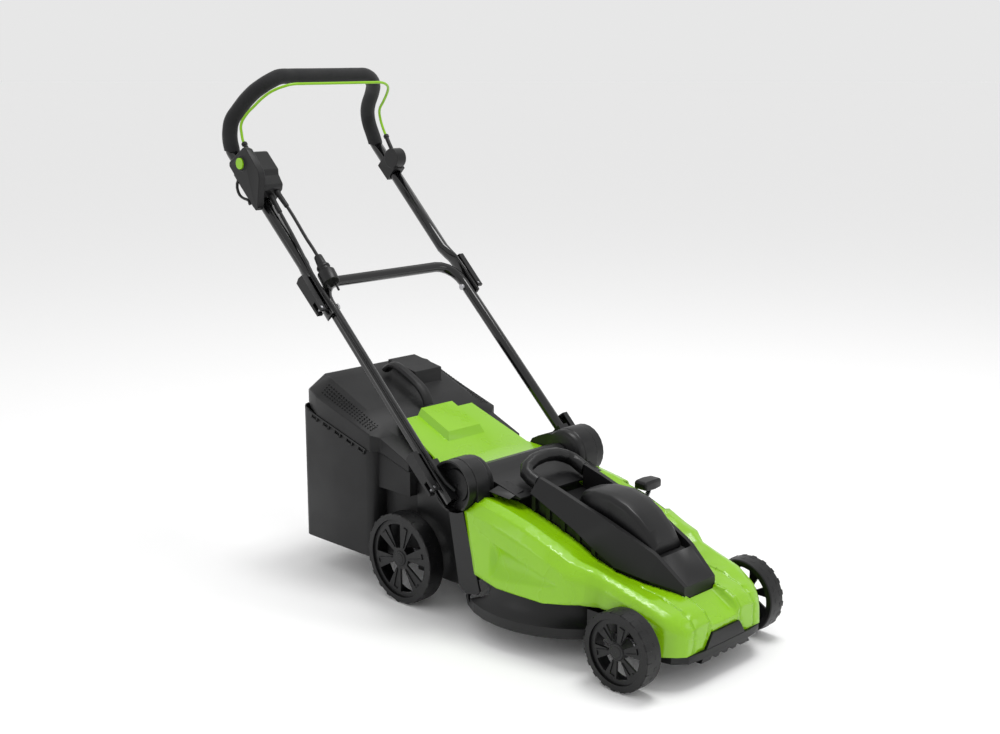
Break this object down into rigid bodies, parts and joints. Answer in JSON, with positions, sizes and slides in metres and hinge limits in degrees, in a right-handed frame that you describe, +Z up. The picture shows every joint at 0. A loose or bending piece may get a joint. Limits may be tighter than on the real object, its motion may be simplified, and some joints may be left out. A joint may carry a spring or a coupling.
{
  "type": "push lawn mower",
  "caption": "Corded push lawn mower: low deck with hood, enclosed blade, wheels on swing axles, folding tube handle with bail switch, and a rear grass box.",
  "frame": {"origin": "on the ground under the middle of the mower's box, with the wheels standing on z = 0", "axes": "+Z up, the mower's front points along -Y, the operator stands at +Y with the right hand on the -X side"},
  "size_m": [0.4443, 1.1493, 1.0048],
  "materials": {
    "black_plastic": "satin moulded",
    "green_plastic": "glossy moulded",
    "steel": "plain",
    "black_tube": "gloss powder coat",
    "foam": "matte foam",
    "cord_rubber": "matte",
    "tread": "matte moulded",
    "motor": "plain",
    "green_wire": "gloss coated wire"
  },
  "bodies": {
    "chassis": {"deck": "black_plastic", "deck_cover": "green_plastic", "front_bumper": "black_plastic", "motor_cover": "black_plastic", "hood_cap": "black_plastic", "carry_bow": "black_plastic", "hinge_cover": "black_plastic", "hinge_drum_right": "black_plastic", "hinge_drum_left": "black_plastic", "flap_rod": "steel", "motor_housing": "motor"},
    "rear_flap": {"rear_flap": "green_plastic"},
    "grass_box": {"grass_box_bin": "black_plastic", "grass_box_lid": "black_plastic", "grass_box_handle": "black_plastic"},
    "blade_rotor": {"rotor_shaft": "steel", "cooling_fan": "black_plastic", "blade": "steel", "blade_bolt": "steel"},
    "rear_axle": {"rear_axle": "steel"},
    "front_axle": {"front_axle": "steel"},
    "height_lever": {"height_lever": "steel", "height_knob": "black_plastic"},
    "height_link": {"height_link": "steel"},
    "lower_handle": {"lower_handle": "black_tube", "handle_bracket_right": "black_tube", "handle_bracket_left": "black_tube", "lower_bolt_right": "steel", "lower_bolt_left": "steel", "motor_lead_lower": "cord_rubber", "mains_plug": "black_plastic"},
    "upper_handle": {"upper_handle": "black_tube", "handle_grip": "foam", "upper_bolt_right": "steel", "upper_bolt_left": "steel", "switch_box": "black_plastic", "bail_housing": "black_plastic", "mains_relief": "cord_rubber", "motor_relief": "cord_rubber", "mains_lead": "cord_rubber", "motor_lead_upper": "cord_rubber", "cord_hook": "black_plastic"},
    "lower_cam_right": {"lower_cam_right": "black_plastic"},
    "lower_cam_left": {"lower_cam_left": "black_plastic"},
    "upper_cam_right": {"upper_cam_right": "black_plastic"},
    "upper_cam_left": {"upper_cam_left": "black_plastic"},
    "bail": {"bail": "green_wire"},
    "start_button": {"start_button": "green_plastic"},
    "wheel_rear_right": {"rim_rear_right": "black_plastic", "tyre_rear_right": "tread", "cap_rear_right": "black_plastic"},
    "wheel_rear_left": {"rim_rear_left": "black_plastic", "tyre_rear_left": "tread", "cap_rear_left": "black_plastic"},
    "wheel_front_right": {"rim_front_right": "black_plastic", "tyre_front_right": "tread", "cap_front_right": "black_plastic"},
    "wheel_front_left": {"rim_front_left": "black_plastic", "tyre_front_left": "tread", "cap_front_left": "black_plastic"}
  },
  "joints": [
    {"name": "rear_axle_swing", "type": "hinge", "parent": "chassis", "child": "rear_axle", "pos_m": [0, 0.011, 0.089], "axis": [1, 0, 0], "range_deg": [0, 22]},
    {"name": "front_axle_swing", "type": "hinge", "parent": "chassis", "child": "front_axle", "pos_m": [0, -0.448, 0.0695], "axis": [1, 0, 0], "range_deg": [-22, 0]},
    {"name": "height_lever_swing", "type": "hinge", "parent": "chassis", "child": "height_lever", "pos_m": [0.14, -0.289, 0.135], "axis": [1, 0, 0], "range_deg": [0, 22]},
    {"name": "height_link_pin", "type": "hinge", "parent": "height_lever", "child": "height_link", "pos_m": [0.1415, -0.289, 0.165], "axis": [1, 0, 0], "range_deg": [-22, 0]},
    {"name": "rear_right_wheel_roll", "type": "hinge", "parent": "rear_axle", "child": "wheel_rear_right", "pos_m": [-0.166, 0.056, 0.089], "axis": [1, 0, 0], "continuous": true},
    {"name": "rear_left_wheel_roll", "type": "hinge", "parent": "rear_axle", "child": "wheel_rear_left", "pos_m": [0.166, 0.056, 0.089], "axis": [1, 0, 0], "continuous": true},
    {"name": "front_right_wheel_roll", "type": "hinge", "parent": "front_axle", "child": "wheel_front_right", "pos_m": [-0.1757, -0.493, 0.0695], "axis": [1, 0, 0], "continuous": true},
    {"name": "front_left_wheel_roll", "type": "hinge", "parent": "front_axle", "child": "wheel_front_left", "pos_m": [0.1757, -0.493, 0.0695], "axis": [1, 0, 0], "continuous": true},
    {"name": "blade_spin", "type": "hinge", "parent": "chassis", "child": "blade_rotor", "pos_m": [0, -0.229, 0.0537], "axis": [0, 0, 1], "continuous": true},
    {"name": "rear_flap_lift", "type": "hinge", "parent": "chassis", "child": "rear_flap", "pos_m": [0, -0.04, 0.262], "axis": [1, 0, 0], "range_deg": [0, 60]},
    {"name": "grass_box_pull", "type": "slide", "parent": "chassis", "child": "grass_box", "axis": [0, 1, 0], "range_m": [0, 0.4]},
    {"name": "lower_handle_fold", "type": "hinge", "parent": "chassis", "child": "lower_handle", "pos_m": [0, -0.091, 0.265], "axis": [1, 0, 0], "range_deg": [0, 124]},
    {"name": "upper_handle_fold", "type": "hinge", "parent": "lower_handle", "child": "upper_handle", "pos_m": [0, 0.24364, 0.55324], "axis": [1, 0, 0], "range_deg": [-158, 0], "deforming": ["motor_lead_lower"]},
    {"name": "lower_right_cam", "type": "hinge", "parent": "lower_handle", "child": "lower_cam_right", "pos_m": [-0.206, -0.064, 0.259], "axis": [0, -0.6912, 0.7227], "range_deg": [0, 95]},
    {"name": "lower_left_cam", "type": "hinge", "parent": "lower_handle", "child": "lower_cam_left", "pos_m": [0.206, -0.064, 0.259], "axis": [0, -0.6912, 0.7227], "range_deg": [-95, 0]},
    {"name": "upper_right_cam", "type": "hinge", "parent": "upper_handle", "child": "upper_cam_right", "pos_m": [-0.2105, 0.24364, 0.55324], "axis": [0, -0.6912, 0.7227], "range_deg": [0, 95]},
    {"name": "upper_left_cam", "type": "hinge", "parent": "upper_handle", "child": "upper_cam_left", "pos_m": [0.2105, 0.24364, 0.55324], "axis": [0, -0.6912, 0.7227], "range_deg": [-95, 0]},
    {"name": "bail_squeeze", "type": "hinge", "parent": "upper_handle", "child": "bail", "pos_m": [0, 0.46802, 0.81199], "axis": [1, 0, 0], "range_deg": [-8, 0], "stiffness_Nm_per_rad": 1},
    {"name": "start_button_press", "type": "slide", "parent": "upper_handle", "child": "start_button", "axis": [1, 0, 0], "range_m": [0, 0.005], "stiffness_N_per_m": 300}
  ],
  "couplings": [
    {"joint": "front_axle_swing", "follows": "rear_axle_swing", "ratio": -1},
    {"joint": "height_lever_swing", "follows": "rear_axle_swing", "ratio": 1},
    {"joint": "height_link_pin", "follows": "rear_axle_swing", "ratio": -1},
    {"joint": "upper_handle_fold", "follows": "lower_handle_fold", "ratio": -1.27}
  ]
}
